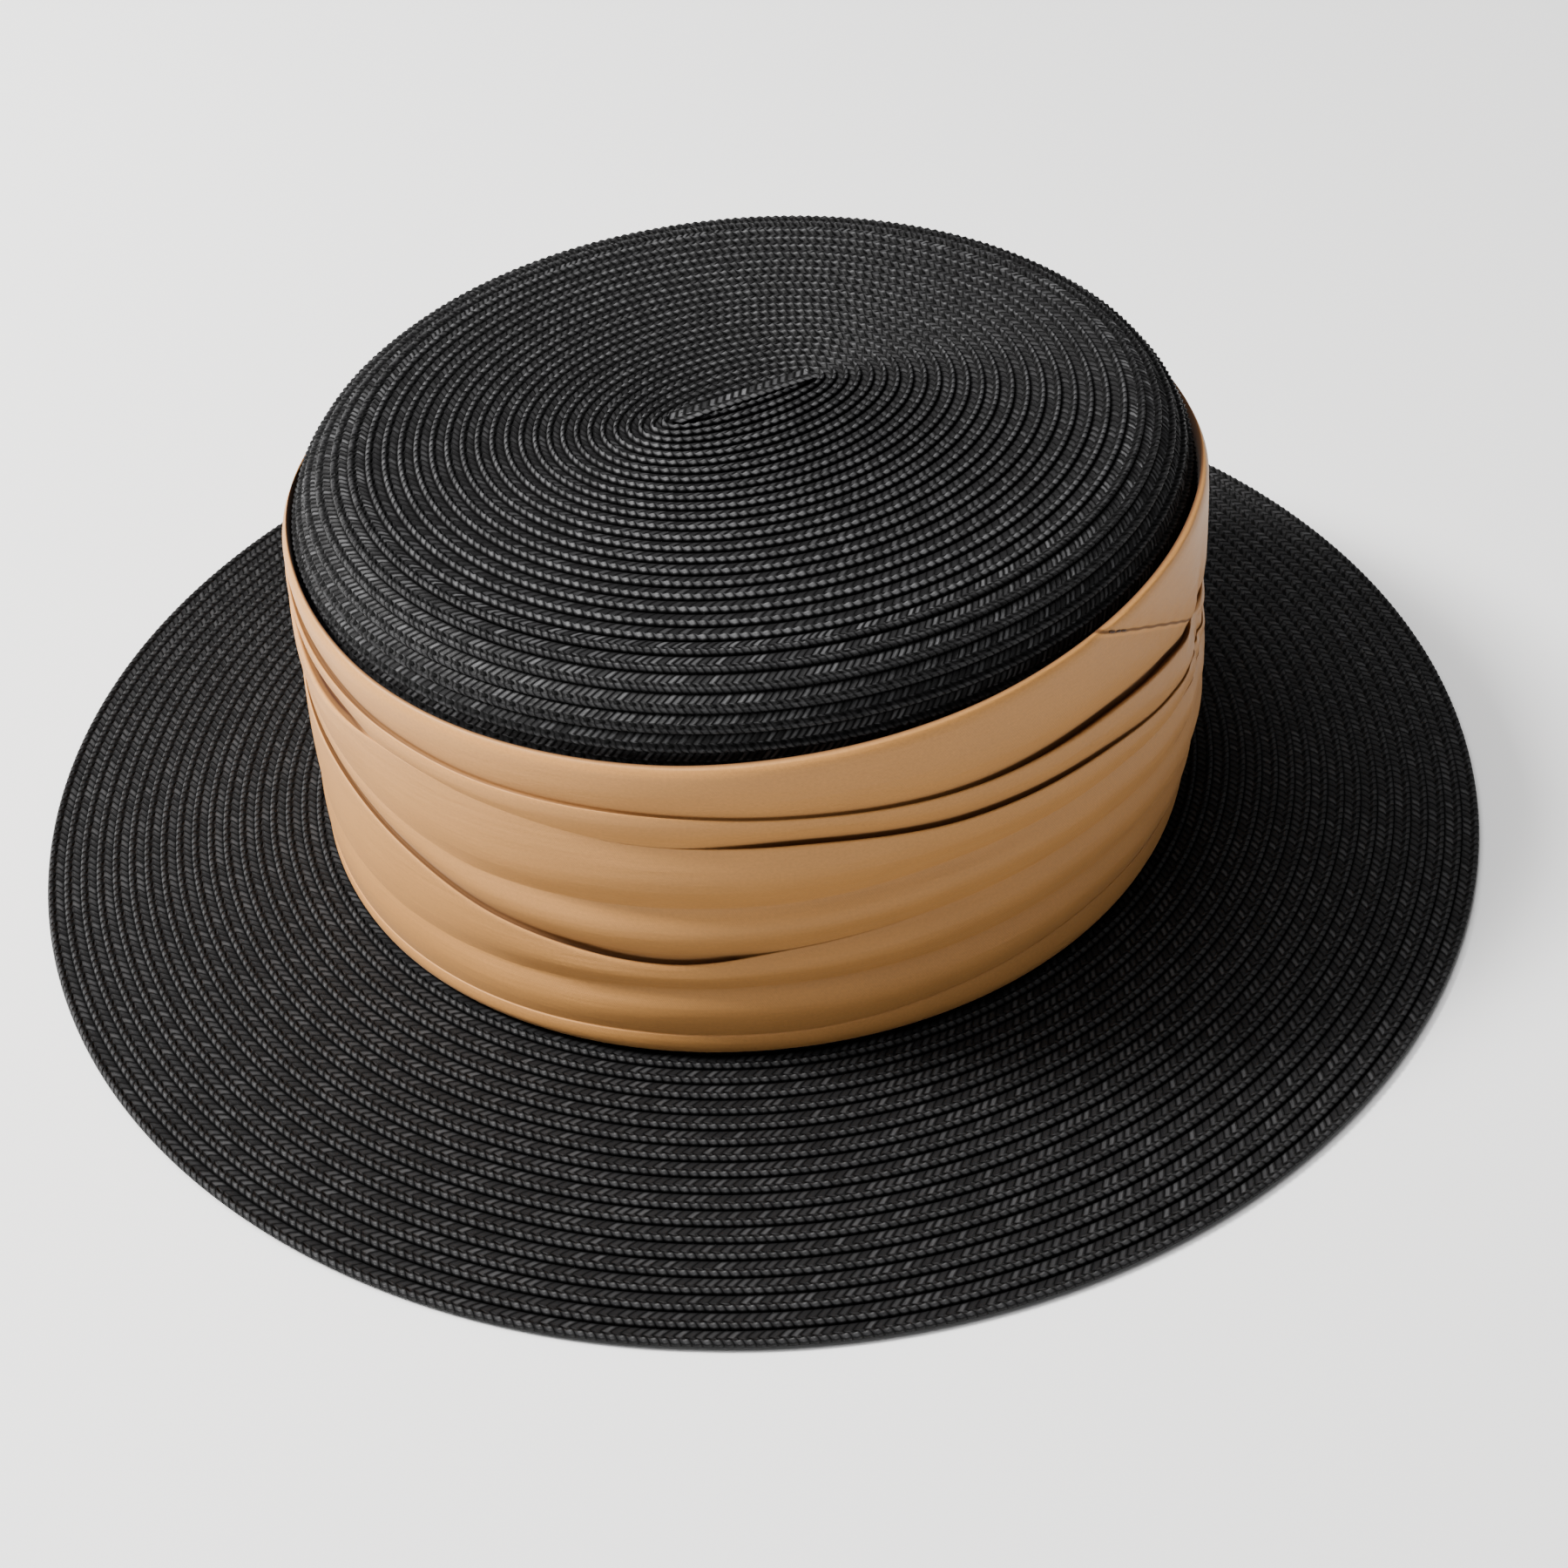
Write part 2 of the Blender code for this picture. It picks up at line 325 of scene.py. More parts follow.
class Wire:
    """A shader socket that adds Math nodes when it is used in an expression."""

    def __init__(self, nodes, socket):
        self.nodes = nodes
        self.socket = socket

    def math(self, operation, *values):
        return self.nodes.add("ShaderNodeMath", {"operation": operation}, [self, *values])

    def __add__(self, other):
        return self.math("ADD", other)

    __radd__ = __add__

    def __sub__(self, other):
        return self.math("SUBTRACT", other)

    def __rsub__(self, other):
        return self.nodes.add("ShaderNodeMath", {"operation": "SUBTRACT"}, [other, self])

    def __mul__(self, other):
        return self.math("MULTIPLY", other)

    __rmul__ = __mul__

    def __truediv__(self, other):
        return self.math("DIVIDE", other)

    def __pow__(self, other):
        return self.math("POWER", other)

    def __abs__(self):
        return self.math("ABSOLUTE")

    def floor(self):
        return self.math("FLOOR")

    def sine(self):
        return self.math("SINE")

    def greater(self, other):
        return self.math("GREATER_THAN", other)

    def smooth(self, low, high):
        """0 below low, 1 above high, eased between them."""
        return self.nodes.add(
            "ShaderNodeMapRange",
            {"interpolation_type": "SMOOTHSTEP"},
            {"Value": self, "From Min": low, "From Max": high},
        )


class Nodes:
    """Adds nodes to one material and wires them up."""

    def __init__(self, name, roughness, slot_colour):
        self.material = bpy.data.materials.new(name)
        self.material.use_nodes = True
        self.material.diffuse_color = (*slot_colour, 1.0)
        self.tree = self.material.node_tree
        self.shader = self.tree.nodes["Principled BSDF"]
        self.shader.inputs["Roughness"].default_value = roughness

    def link(self, value, socket):
        """Feed a wire or a constant to a socket."""
        if isinstance(value, Wire):
            self.tree.links.new(value.socket, socket)
        elif socket.type == "RGBA" and len(value) == 3:
            socket.default_value = (*value, 1.0)
        else:
            socket.default_value = value

    def add(self, kind, settings=None, values=(), output=0):
        """A node of one type, with its settings, then its sockets' values or wires."""
        node = self.tree.nodes.new(kind)
        for name, value in (settings or {}).items():
            setattr(node, name, value)
        pairs = values.items() if isinstance(values, dict) else enumerate(values)
        for key, value in pairs:
            self.link(value, node.inputs[key])
        return Wire(self, node.outputs[output])

    def mix(self, share, first, second):
        """A colour between two colours."""
        return self.add("ShaderNodeMix", {"data_type": "RGBA"}, {0: share, 6: first, 7: second}, 2)

    def scale_colour(self, colour, amount):
        """A colour times a number."""
        return self.add("ShaderNodeVectorMath", {"operation": "SCALE"}, {0: colour, 3: amount})

    def split(self, vector):
        """The first two numbers of a vector."""
        first = self.add("ShaderNodeSeparateXYZ", None, [vector])
        return first, Wire(self, first.socket.node.outputs[1])

    def join(self, first, second):
        """A vector of two numbers and a zero."""
        return self.add("ShaderNodeCombineXYZ", None, [first, second])

    def coordinates(self, layer):
        """The two numbers of a UV layer."""
        return self.split(self.add("ShaderNodeUVMap", {"uv_map": layer}))

    def noise(self, vector, scale, detail):
        """Soft random blotches from 0 to 1."""
        values = {"Vector": vector, "Scale": scale, "Detail": detail, "Roughness": 0.55}
        return self.add("ShaderNodeTexNoise", None, values)

    def random(self, vector):
        """A number from 0 to 1 for each value of the vector."""
        return self.add("ShaderNodeTexWhiteNoise", {"noise_dimensions": "3D"}, {"Vector": vector})

    def feed(self, name, value):
        self.link(value, self.shader.inputs[name])

    def bump(self, height, strength, distance, under=None):
        values = {"Strength": strength, "Distance": distance, "Height": height}
        if under is not None:
            values["Normal"] = under
        return self.add("ShaderNodeBump", None, values)


def tinted(colour_parts, amount):
    """A colour made darker or lighter by a share."""
    return tuple(amount * part for part in colour_parts)


def straw_material(colours, plait, name, ridge_share, body_share, strands):
    """Black plait: slanting strands with painted highlights on the ridge, painted glints on the
    flatter part, and painted shade in the pits, along the ridge's foot and between the strands.
    """
    nodes = Nodes(name, 0.42, colours.straw)
    along, across = nodes.coordinates("plait")
    phase = strands * (along - plait.strand_slope * abs(across - 0.5))
    strand = abs((phase * math.pi).sine())
    chance = nodes.random(nodes.join(phase.floor(), across.greater(0.5)))
    fibres = nodes.noise(nodes.join(phase * 9.0, across * 3.0), 1.0, 3.0)
    ridge = across.smooth(0.70, 0.80) * (1.0 - across.smooth(0.90, 1.0))
    body = across.smooth(0.04, 0.20) * (1.0 - across.smooth(0.48, 0.60))
    # Painted shade: a dark line at the foot of the ridge's riser, with dark pits along it (the pits
    # also sink the bump)
    riser_painted_shade = 1.0 - abs(across - 0.63).smooth(0.03, 0.11)
    pair = abs((phase * (0.5 * math.pi)).sine())
    pit = riser_painted_shade * (1.0 - pair.smooth(0.25, 0.75))
    # Painted shade between the strands and at the row's inner edge, next to the ridge of the row
    # before
    tone = strand.smooth(0.05, 0.55) * (1.0 - pit)
    tone = tone * (1.0 - 0.45 * riser_painted_shade) * across.smooth(0.0, 0.12)
    # Painted highlight on the ridge's strands and painted glints on the flatter part of the row
    twist = 0.3 + 0.7 * strand.smooth(0.15, 0.85)
    shine = ridge * twist * ridge_share * (0.35 + 0.65 * chance) * (0.4 + 1.0 * fibres)
    bright = (0.1 + 1.4 * chance * chance) * (0.2 + 1.4 * fibres)
    glint = body * strand.smooth(0.45, 1.0) * body_share * bright
    dark = nodes.mix(tone, tuple(colours.straw_painted_shade), tuple(colours.straw))
    nodes.feed("Base Color", nodes.mix(shine + glint, dark, tuple(colours.straw_painted_highlight)))
    nodes.feed("Roughness", 0.34 + 0.20 * fibres + 0.25 * (1.0 - tone))
    height = strand ** 0.6 * (0.5 + 0.5 * ridge) - 0.8 * pit + 0.2 * fibres + 0.2 * chance
    nodes.feed("Normal", nodes.bump(height, 0.9, 0.0004))
    nodes.shader.inputs["Specular IOR Level"].default_value = 0.10
    return nodes.material


def satin_material(colours, band):
    """Tan satin: fine weave, soft mottling, painted brown shade in the creases and along the join's
    seam line, and a painted highlight just below the seam.
    """
    nodes = Nodes("folded_satin", 0.46, colours.satin)
    along, up = nodes.coordinates("cloth")
    shade = nodes.add("ShaderNodeAttribute", {"attribute_name": "crease_shade"}, (), 2)
    twill = ((along + up * TWILL_LEAN) * (FULL_TURN / TWILL_PITCH)).sine()
    thread_lines = (up * (FULL_TURN / THREAD_PITCH)).sine()
    grain = nodes.noise(nodes.join(along * 1400.0, up * 1900.0), 1.0, 4.0)
    mottle = nodes.noise(nodes.join(along * 60.0, up * 110.0), 1.0, 3.0)
    pulls = nodes.noise(nodes.join(along * 26.0, up * 420.0), 1.0, 3.0)
    seam_start, seam_end = (math.radians(angle) * BAND_RADIUS for angle in SEAM_ANGLES)
    seam_share = (along - seam_start) / (seam_end - seam_start)
    seam_place = SEAM_START + SEAM_SLOPE * seam_share + SEAM_BEND * seam_share * seam_share
    seam_gap = up - seam_place * band.height
    on_seam = seam_share.greater(0.0) * (1.0 - seam_share.greater(1.0))
    # Painted shade along the join's seam line, where the cloth above laps over the cloth below
    seam_painted_shade = on_seam * (1.0 - abs(seam_gap + 0.0001).smooth(0.00015, 0.0006))
    # Painted highlight: a lighter strip on the cloth just below the seam line
    seam_painted_highlight = on_seam * (1.0 - abs(seam_gap + 0.0009).smooth(0.0002, 0.0007))
    lit = nodes.mix(mottle, tinted(colours.satin, 0.93), tinted(colours.satin, 1.06))
    fine = 0.78 + 0.40 * grain + 0.012 * twill + 0.22 * seam_painted_highlight
    # How much painted shade each point takes from the creases and the seam, towards the painted
    # shade colour
    dark = 1.0 - (1.0 - shade) * (1.0 - 0.7 * seam_painted_shade)
    shaded = nodes.mix(dark, nodes.scale_colour(lit, fine), tuple(colours.satin_painted_shade))
    nodes.feed("Base Color", shaded)
    nodes.feed("Roughness", 0.40 + 0.12 * grain + 0.06 * mottle + 0.45 * dark)
    height = 0.25 * twill + 0.2 * thread_lines + 0.8 * grain
    wide = nodes.bump(pulls - 0.6 * seam_painted_shade, 0.25, 0.0006)
    nodes.feed("Normal", nodes.bump(height, 0.16, 0.0001, wide))
    nodes.shader.inputs["Sheen Weight"].default_value = 0.05
    nodes.shader.inputs["Sheen Roughness"].default_value = 0.4
    nodes.shader.inputs["Specular IOR Level"].default_value = 0.3
    return nodes.material


def thread_material(colours):
    """Twisted sewing thread."""
    nodes = Nodes("sewing_thread", 0.6, colours.thread)
    place = nodes.add("ShaderNodeTexCoord", None, (), 3)
    strands = nodes.add(
        "ShaderNodeTexWave",
        {"wave_type": "BANDS", "bands_direction": "DIAGONAL"},
        {"Vector": place, "Scale": 1600.0, "Distortion": 1.0},
        1,
    )
    nodes.feed("Base Color", nodes.mix(strands, tinted(colours.thread, 0.6), tuple(colours.thread)))
    nodes.feed("Normal", nodes.bump(strands, 0.4, 0.0001))
    return nodes.material


def floor_material(colours):
    """Pale studio floor with a faint mottle."""
    nodes = Nodes("studio_floor", 0.7, colours.floor)
    place = nodes.add("ShaderNodeTexCoord", None, (), 3)
    mottle = nodes.noise(place, 6.0, 2.0)
    nodes.feed("Base Color", nodes.mix(mottle, tinted(colours.floor, 0.985), tuple(colours.floor)))
    return nodes.material


# Faces of the straw


def oval_outward(width, length, angle):
    """Unit vectors that point straight out of an oval, level with the table."""
    east = np.sin(angle) * np.maximum(length, 1e-9)
    south = -np.cos(angle) * np.maximum(width, 1e-9)
    size = np.sqrt(east * east + south * south) + 1e-12
    return east / size, south / size


def tip_half_width(sizes):
    """Half the width of the flat tip."""
    return (sizes.crown_width - sizes.taper_width) / 2.0 - sizes.shoulder_radius


def side_height(sizes):
    """Height of the crown's side, from the brim to the shoulder."""
    return sizes.hat_height - sizes.shoulder_radius - sizes.brim_top


def row_growth(sizes, plait):
    """How fast the tip's rows widen outwards, and how many turns the flat tip takes."""
    growth = (plait.side_pitch - plait.centre_pitch) / tip_half_width(sizes)
    return growth, math.log(plait.side_pitch / plait.centre_pitch) / growth


def crown_face(sizes, reach, angle):
    """Points and normals of the crown's outside at a distance from the tip's centre line.

    The distance is measured over the tip, the shoulder and the side, along the narrow half.
    """
    radius = sizes.shoulder_radius
    flat_width = tip_half_width(sizes)
    flat_length = (sizes.crown_length - sizes.taper_length) / 2.0 - radius
    side = side_height(sizes)
    turn = np.clip((reach - flat_width) / radius, 0.0, math.pi / 2.0)
    down = np.maximum(reach - flat_width - radius * math.pi / 2.0, 0.0)
    level = np.clip(reach, 0.0, flat_width)
    share = level / flat_width
    width = level + radius * np.sin(turn) + sizes.taper_width / 2.0 * down / side
    inner_run = 0.8 * sizes.centre_run
    length = inner_run + (flat_length - inner_run) * share
    length = length + radius * np.sin(turn) + sizes.taper_length / 2.0 * down / side
    height = sizes.hat_height - radius * (1.0 - np.cos(turn)) - down
    east, south = oval_outward(width, length, angle)
    forward = -length * np.cos(angle)
    lean = sizes.centre_place[0] - forward * math.tan(sizes.centre_turn)
    sideways = width * np.sin(angle) + lean * (1.0 - share)
    forward = forward + sizes.centre_place[1] * (1.0 - share)
    points = np.stack([sideways, forward, height], axis=-1)
    normals = np.stack([east * np.sin(turn), south * np.sin(turn), np.cos(turn)], axis=-1)
    return points, normals


def centre_face(sizes, plait, reach, angle):
    """Points and normals of the straight run in the middle of the tip, where the plait starts."""
    along = sizes.centre_run * (2.0 * angle / FULL_TURN - 1.0)
    across = reach - 0.5 * plait.centre_width
    cosine, sine = math.cos(sizes.centre_turn), math.sin(sizes.centre_turn)
    sideways = sizes.centre_place[0] + across * cosine - along * sine
    forward = sizes.centre_place[1] + across * sine + along * cosine
    height = np.full_like(reach, sizes.hat_height + 0.25 * sizes.straw_wall)
    normals = np.zeros(reach.shape + (3,))
    normals[..., 2] = 1.0
    return np.stack([sideways, forward, height], axis=-1), normals


def brim_face(sizes, reach, angle):
    """Points and normals of the brim's top at a distance from the head opening's edge."""
    inner_width = sizes.crown_width / 2.0 - sizes.straw_wall
    inner_length = sizes.crown_length / 2.0 - sizes.straw_wall
    span = sizes.brim_width / 2.0 - inner_width
    rise = sizes.brim_top - sizes.straw_wall
    share = reach / span
    flat_share = 1.0 - sizes.edge_row / (sizes.brim_width / 2.0 - sizes.crown_width / 2.0)
    left = np.clip(1.0 - share / flat_share, 0.0, 1.2)
    height = sizes.straw_wall + rise * left ** sizes.brim_curve
    slope = rise * sizes.brim_curve * left ** (sizes.brim_curve - 1.0) / (flat_share * span)
    side = sizes.brim_side * share * np.maximum(np.cos(angle - BRIM_SIDE_ANGLE), 0.0)
    width = inner_width + share * span + side
    length = inner_length + share * (sizes.brim_length / 2.0 - inner_length) + side
    east, south = oval_outward(width, length, angle)
    size = np.sqrt(1.0 + slope * slope)
    points = np.stack([width * np.sin(angle), -length * np.cos(angle), height], axis=-1)
    normals = np.stack([east * slope / size, south * slope / size, 1.0 / size], axis=-1)
    return points, normals


def crown_reach(sizes, plait, turns):
    """Distance from the tip's centre line after a number of turns of the spiral."""
    growth, flat_turns = row_growth(sizes, plait)
    level = plait.centre_pitch / growth * (np.exp(growth * np.minimum(turns, flat_turns)) - 1.0)
    return level + plait.side_pitch * np.maximum(turns - flat_turns, 0.0)


def crown_turns(sizes, plait, reach):
    """Number of turns of the spiral at a distance from the tip's centre line."""
    flat_width = tip_half_width(sizes)
    growth, flat_turns = row_growth(sizes, plait)
    if reach <= flat_width:
        return math.log(1.0 + reach * growth / plait.centre_pitch) / growth
    return flat_turns + (reach - flat_width) / plait.side_pitch


def brim_rows(sizes, plait):
    """How many rows the brim has, and their exact pitch."""
    span = sizes.brim_width / 2.0 - sizes.crown_width / 2.0 + sizes.straw_wall
    count = round(span / plait.brim_pitch)
    return count, span / count


def brim_reach(sizes, plait, turns):
    """Distance from the head opening's edge: level rows that step outwards at the back."""
    count, pitch = brim_rows(sizes, plait)
    whole = np.floor(turns)
    eased = np.clip((turns - whole - 0.5) / plait.step_length + 0.5, 0.0, 1.0)
    row = whole + eased * eased * (3.0 - 2.0 * eased)
    return pitch * np.minimum(row, count - 1.0)


# Meshes


def add_mesh(name, points, faces, material, uv_name=None, uv=None):
    """A smooth object from arrays of points and four-sided faces, with a UV layer if given."""
    data = bpy.data.meshes.new(name)
    data.vertices.add(len(points))
    data.vertices.foreach_set("co", np.asarray(points, dtype=np.float32).ravel())
    corners = np.asarray(faces, dtype=np.int32)
    data.loops.add(corners.size)
    data.loops.foreach_set("vertex_index", corners.ravel())
    data.polygons.add(len(corners))
    starts = np.arange(len(corners), dtype=np.int32) * corners.shape[1]
    data.polygons.foreach_set("loop_start", starts)
    data.update(calc_edges=True)
    data.polygons.foreach_set("use_smooth", np.ones(len(corners), dtype=bool))
    if uv is not None:
        layer = data.uv_layers.new(name=uv_name)
        layer.data.foreach_set("uv", np.asarray(uv, dtype=np.float32)[corners.ravel()].ravel())
    data.materials.append(material)
    data.validate()
    piece = bpy.data.objects.new(name, data)
    bpy.context.scene.collection.objects.link(piece)
    return piece


def grid_faces(rows, columns, close_rows=False, close_columns=False):
    """Faces of a grid of points, stored row by row."""
    row_ends = rows if close_rows else rows - 1
    column_ends = columns if close_columns else columns - 1
    row, column = np.meshgrid(np.arange(row_ends), np.arange(column_ends), indexing="ij")
    next_row, next_column = (row + 1) % rows, (column + 1) % columns
    corners = [
        row * columns + column,
        row * columns + next_column,
        next_row * columns + next_column,
        next_row * columns + column,
    ]
    return np.stack(corners, axis=-1).reshape(-1, 4)


def plait_path(face, reach_of, first_turn, last_turn):
    """Turns along a spiral of plait, and the distance run at each."""
    samples = int((last_turn - first_turn) * 360) + 2
    turns = np.linspace(first_turn, last_turn, samples)
    points, _ = face(np.maximum(reach_of(turns), 0.0), turns * FULL_TURN)
    steps = np.linalg.norm(np.diff(points, axis=0), axis=1)
    return turns, np.concatenate([[0.0], np.cumsum(steps)])


def plait_strip(name, face, reach_of, path, span, bead_steps, plait, thickness, material):
    """A stretch of plait between two turns, wound along a spiral on a face of the hat.

    Each turn's raised outer edge laps over the inner edge of the next turn.
    """
    turns, distance = path
    first, last = (round(mark / plait.bead_length) for mark in np.interp(span, turns, distance))
    marks = np.arange(first * bead_steps, last * bead_steps + 1) / bead_steps * plait.bead_length
    marks = marks[marks <= distance[-1]]
    ends = np.minimum(marks, distance[-1] - marks) / (END_BEADS * plait.bead_length)
    taper = np.clip(ends, 0.0, 1.0)
    bead = np.cos(marks / plait.bead_length * FULL_TURN)
    columns, uv = [], []
    for across, height, swing in PLAIT_SECTION:
        lean = plait.strand_slope * abs(across - 0.5) * plait.bead_length
        place = np.clip(marks + lean, 0.0, distance[-1])
        turn = np.interp(place, distance, turns)
        inner = reach_of(turn)
        pitch = reach_of(turn + 1.0) - inner
        pitch = np.where(pitch > 1e-9, pitch, plait.brim_pitch)
        reach = np.maximum(inner + across * pitch, 0.0)
        points, normals = face(reach, turn * FULL_TURN)
        lift = height * thickness + swing * plait.bead_swing * bead
        lift = lift * taper - 0.5 * thickness * (1.0 - taper)
        columns.append(points + normals * lift[:, None])
        uv.append(np.stack([place / plait.bead_length, np.full_like(place, across)], axis=-1))
    points = np.stack(columns, axis=1)
    count, wide = points.shape[:2]
    faces = grid_faces(count, wide, close_columns=True)[:, ::-1]
    uv = np.stack(uv, axis=1).reshape(-1, 2)
    return add_mesh(name, points.reshape(-1, 3), faces, material, "plait", uv)


def finish_piece(piece, slot, *nodes):
    """The piece rides on the hat and stands for its nodes. The slot is not used."""
    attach(piece, BODY)
    if nodes:
        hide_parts(*nodes)


# The band


def station_curve(values, degrees):
    """A value at any angle from its stations, smooth all the way round."""
    places = np.array(STATIONS + (STATIONS[0] + 360.0,))
    ends = np.array(tuple(values) + (values[0],))
    turned = (np.asarray(degrees) - places[0]) % 360.0 + places[0]
    index = np.clip(np.searchsorted(places, turned, side="right") - 1, 0, len(STATIONS) - 1)
    slopes = np.zeros(len(ends))
    gaps = np.diff(places)
    rises = np.diff(ends) / gaps
    before = np.concatenate([[rises[-1]], rises])
    after = np.concatenate([rises, [rises[0]]])
    same_way = before * after > 0.0
    slopes[same_way] = 2.0 * before[same_way] * after[same_way] / (before + after)[same_way]
    gap = gaps[index]
    share = (turned - places[index]) / gap
    square, cube = share ** 2, share ** 3
    start = (2 * cube - 3 * square + 1) * ends[index]
    start = start + (cube - 2 * square + share) * gap * slopes[index]
    end = (-2 * cube + 3 * square) * ends[index + 1] + (cube - square) * gap * slopes[index + 1]
    return start + end


def seam_height(degrees):
    """Height share of the join's seam, from the top edge down to the gather."""
    share = (degrees - SEAM_ANGLES[0]) / (SEAM_ANGLES[1] - SEAM_ANGLES[0])
    return SEAM_START + SEAM_SLOPE * share + SEAM_BEND * share * share


def bump_shape(along, up, wide, high):
    """A round swelling, 1 in its middle, that fades over a width and a height."""
    return np.exp(-(along / wide) ** 2 - (up / high) ** 2)


def gather_relief(band, degrees, share):
    """Outward offset of the cloth that bunches, dimples and wrinkles round the gather."""
    along = np.radians((degrees - band.gather_angle + 180.0) % 360.0 - 180.0) * BAND_RADIUS
    up = (share - GATHER_SHARE) * band.height
    distance = np.hypot(along, up)
    bunch = band.gather_stand * bump_shape(along, up, *BUNCH_SIZE)
    dimple = -0.9 * band.gather_stand * bump_shape(along, up, *DIMPLE_SIZE)
    rays = np.cos(WRINKLE_COUNT * np.arctan2(up, along)) * np.exp(-distance / WRINKLE_REACH)
    return bunch + dimple + WRINKLE_DEPTH * rays * (1.0 - np.exp(-(distance / WRINKLE_START) ** 2))


def band_relief(band, degrees, share):
    """Outward offset and crease shade of the cloth at an angle and a height share."""
    offset = gather_relief(band, degrees, share)
    shade = np.zeros_like(share)
    lines = [station_curve(heights, degrees) for heights, _, _ in CREASES.values()]
    for (_, laps, grooves), place in zip(CREASES.values(), lines):
        lap_share = station_curve(laps, degrees)
        lap = lap_share * band.lap_depth
        groove = station_curve(grooves, degrees) * band.groove_depth
        gap = (share - place) * band.height
        above = gap > 0.0
        raised = 0.5 * lap * np.exp(-np.abs(gap) / LAP_REACH_BELOW)
        rim = 0.22 * lap * np.clip(1.0 + gap / RIM_WIDTH, 0.0, 1.0) ** 2
        rim += 0.14 * lap * (gap > -LAP_EDGE)
        sunk = -0.55 * lap * np.exp(-np.abs(gap) / LAP_REACH_ABOVE)
        offset += np.where(above, sunk, raised - rim)
        offset += -groove * np.exp(-(gap / band.groove_width) ** 2)
        tight = np.clip(2.2 * lap_share, 0.0, 1.0)
        rise = np.maximum(gap, 0.0)
        deep = 0.8 * np.exp(-rise / RIM_WIDTH) + 0.2 * lap_share * np.exp(-rise / SHADE_REACH)
        near = np.where(above, deep, 0.95 * np.exp(np.minimum(gap, 0.0) / EDGE_SHADE_REACH))
        shade = np.maximum(shade, near * tight)
    lines = [np.zeros_like(share), *lines, station_curve(TOP_EDGE, degrees)]
    for low, high in zip(lines, lines[1:]):
        between = np.clip((share - low) / (high - low), 0.0, 1.0)
        offset += 4.0 * band.swell * between * (1.0 - between)
    seam_gap = (share - seam_height(degrees)) * band.height
    on_seam = np.clip((degrees - SEAM_ANGLES[0]) / 2.0, 0.0, 1.0)
    on_seam = on_seam * np.clip((SEAM_ANGLES[1] - degrees) / 2.0, 0.0, 1.0)
    step = SEAM_STEP * np.tanh(seam_gap / SEAM_WIDTH)
    offset += on_seam * step * np.exp(-np.abs(seam_gap) / SEAM_REACH)
    sag = np.sin(math.pi * np.clip((share - BELLY_FOOT) / BELLY_SPAN, 0.0, 1.0)) ** 0.8
    offset += station_curve(BELLIES, degrees) * band.belly * sag
    wave = CLOTH_WAVE * np.sin(np.radians(degrees) * 5.0 + share * 9.0)
    return offset + wave, shade


def band_heights(band, degrees, steps):
    """Height shares of the band's rows at each angle, close together beside the creases.

    The second array is how far each row drops into the pocket behind a lap, as a height share.
    """
    lines = [np.zeros_like(degrees)]
    lines += [station_curve(heights, degrees) for heights, _, _ in CREASES.values()]
    lines.append(station_curve(TOP_EDGE, degrees))
    laps = [station_curve(laps, degrees) for _, laps, _ in CREASES.values()]
    rows, drops = [], []
    for low, high, lap in zip(lines, lines[1:], [*laps, None]):
        for index in range(steps):
            share = 0.5 - 0.5 * math.cos(math.pi * index / (steps - 1))
            rows.append(low + CREASE_MARGIN + (high - low - 2.0 * CREASE_MARGIN) * share)
            drops.append(np.zeros_like(degrees))
        if lap is not None:
            depth = np.clip(2.0 * lap, 0.0, 1.0) * band.pocket_depth / band.height
            rows += [high + beside * CREASE_MARGIN for beside in (-0.1, -0.02, 0.05)]
            drops += [np.zeros_like(degrees), 0.15 * depth, depth]
    return np.stack(rows, axis=0), np.stack(drops, axis=0)


def straw_axes(sizes, height):
    """Half length and half width of the straw's side at a height, carried on over the shoulder."""
    share = (height - sizes.brim_top) / side_height(sizes)
    half_length = (sizes.crown_length - share * sizes.taper_length) / 2.0
    half_width = (sizes.crown_width - share * sizes.taper_width) / 2.0
    return half_length, half_width


def band_place(sizes, band, degrees, share, offset):
    """A point of the band, outside the straw by the offset."""
    height = sizes.brim_top + band.clearance + share * band.height
    half_length, half_width = straw_axes(sizes, height)
    angle = np.radians(degrees)
    sideways = (half_width + offset) * np.sin(angle)
    forward = -(half_length + offset) * np.cos(angle)
    return np.stack([sideways, forward, height], axis=-1)


